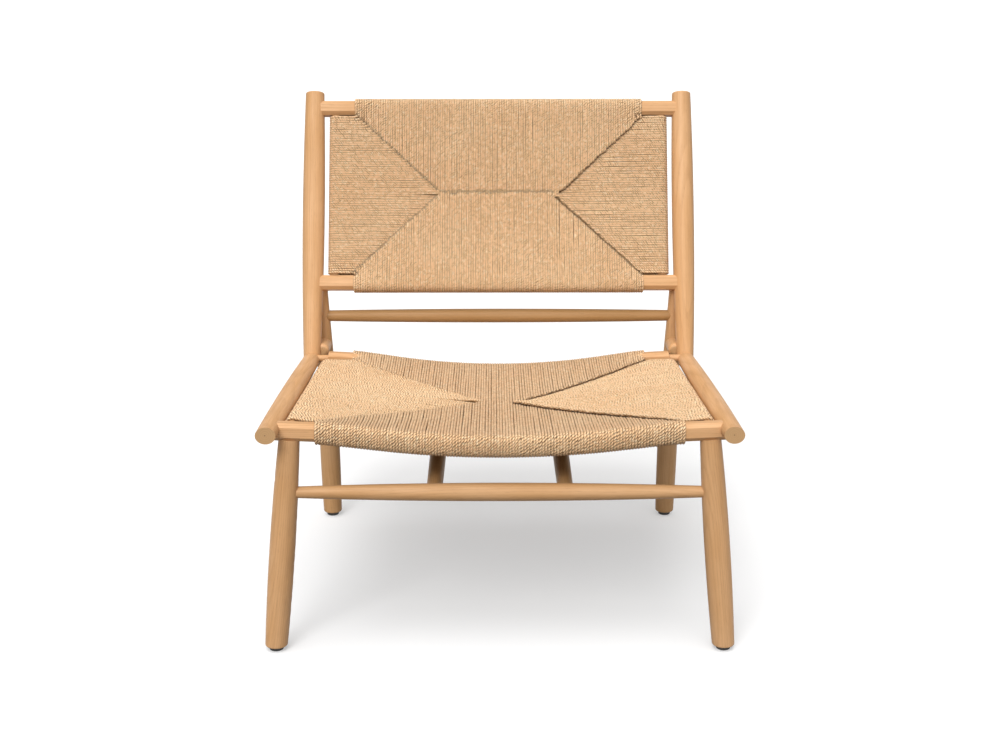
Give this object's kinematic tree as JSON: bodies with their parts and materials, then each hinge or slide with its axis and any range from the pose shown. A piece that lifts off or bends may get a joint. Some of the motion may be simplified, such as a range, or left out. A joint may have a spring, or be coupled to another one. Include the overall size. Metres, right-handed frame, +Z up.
{
  "type": "lounge chair",
  "caption": "Low armless lounge chair with a turned wooden frame, a dipped woven cord seat and a leaning woven cord back.",
  "frame": {"origin": "on the floor, under the middle of the chair's box", "axes": "+X across to the right of someone who stands in front and faces the chair, +Y to the back of the chair, +Z up"},
  "size_m": [0.6604, 0.7132, 0.7114],
  "materials": {
    "oak": "soaped pale oak, smooth and nearly matt, fine straight grain",
    "paper_cord": "twisted natural paper cord, matt, slightly fibrous",
    "glide": "dark matt plastic"
  },
  "bodies": {
    "root": {"back_post_left": "oak", "back_post_right": "oak", "back_side_rod_left": "oak", "back_side_rod_right": "oak", "back_weave": "paper_cord", "front_leg_left": "oak", "front_leg_right": "oak", "front_seat_bar": "oak", "front_stretcher": "oak", "glide_front_left": "glide", "glide_front_right": "glide", "glide_rear_left": "glide", "glide_rear_right": "glide", "leg_block_left": "oak", "leg_block_right": "oak", "leg_pin_left": "oak", "leg_pin_right": "oak", "lower_back_bar": "oak", "rear_crossbar": "oak", "rear_leg_left": "oak", "rear_leg_right": "oak", "rear_seat_bar": "oak", "rear_stretcher": "oak", "seat_brace_left": "oak", "seat_brace_right": "oak", "seat_rail_left": "oak", "seat_rail_right": "oak", "seat_side_rod_left": "oak", "seat_side_rod_right": "oak", "seat_weave": "paper_cord", "top_back_bar": "oak"}
  },
  "joints": []
}
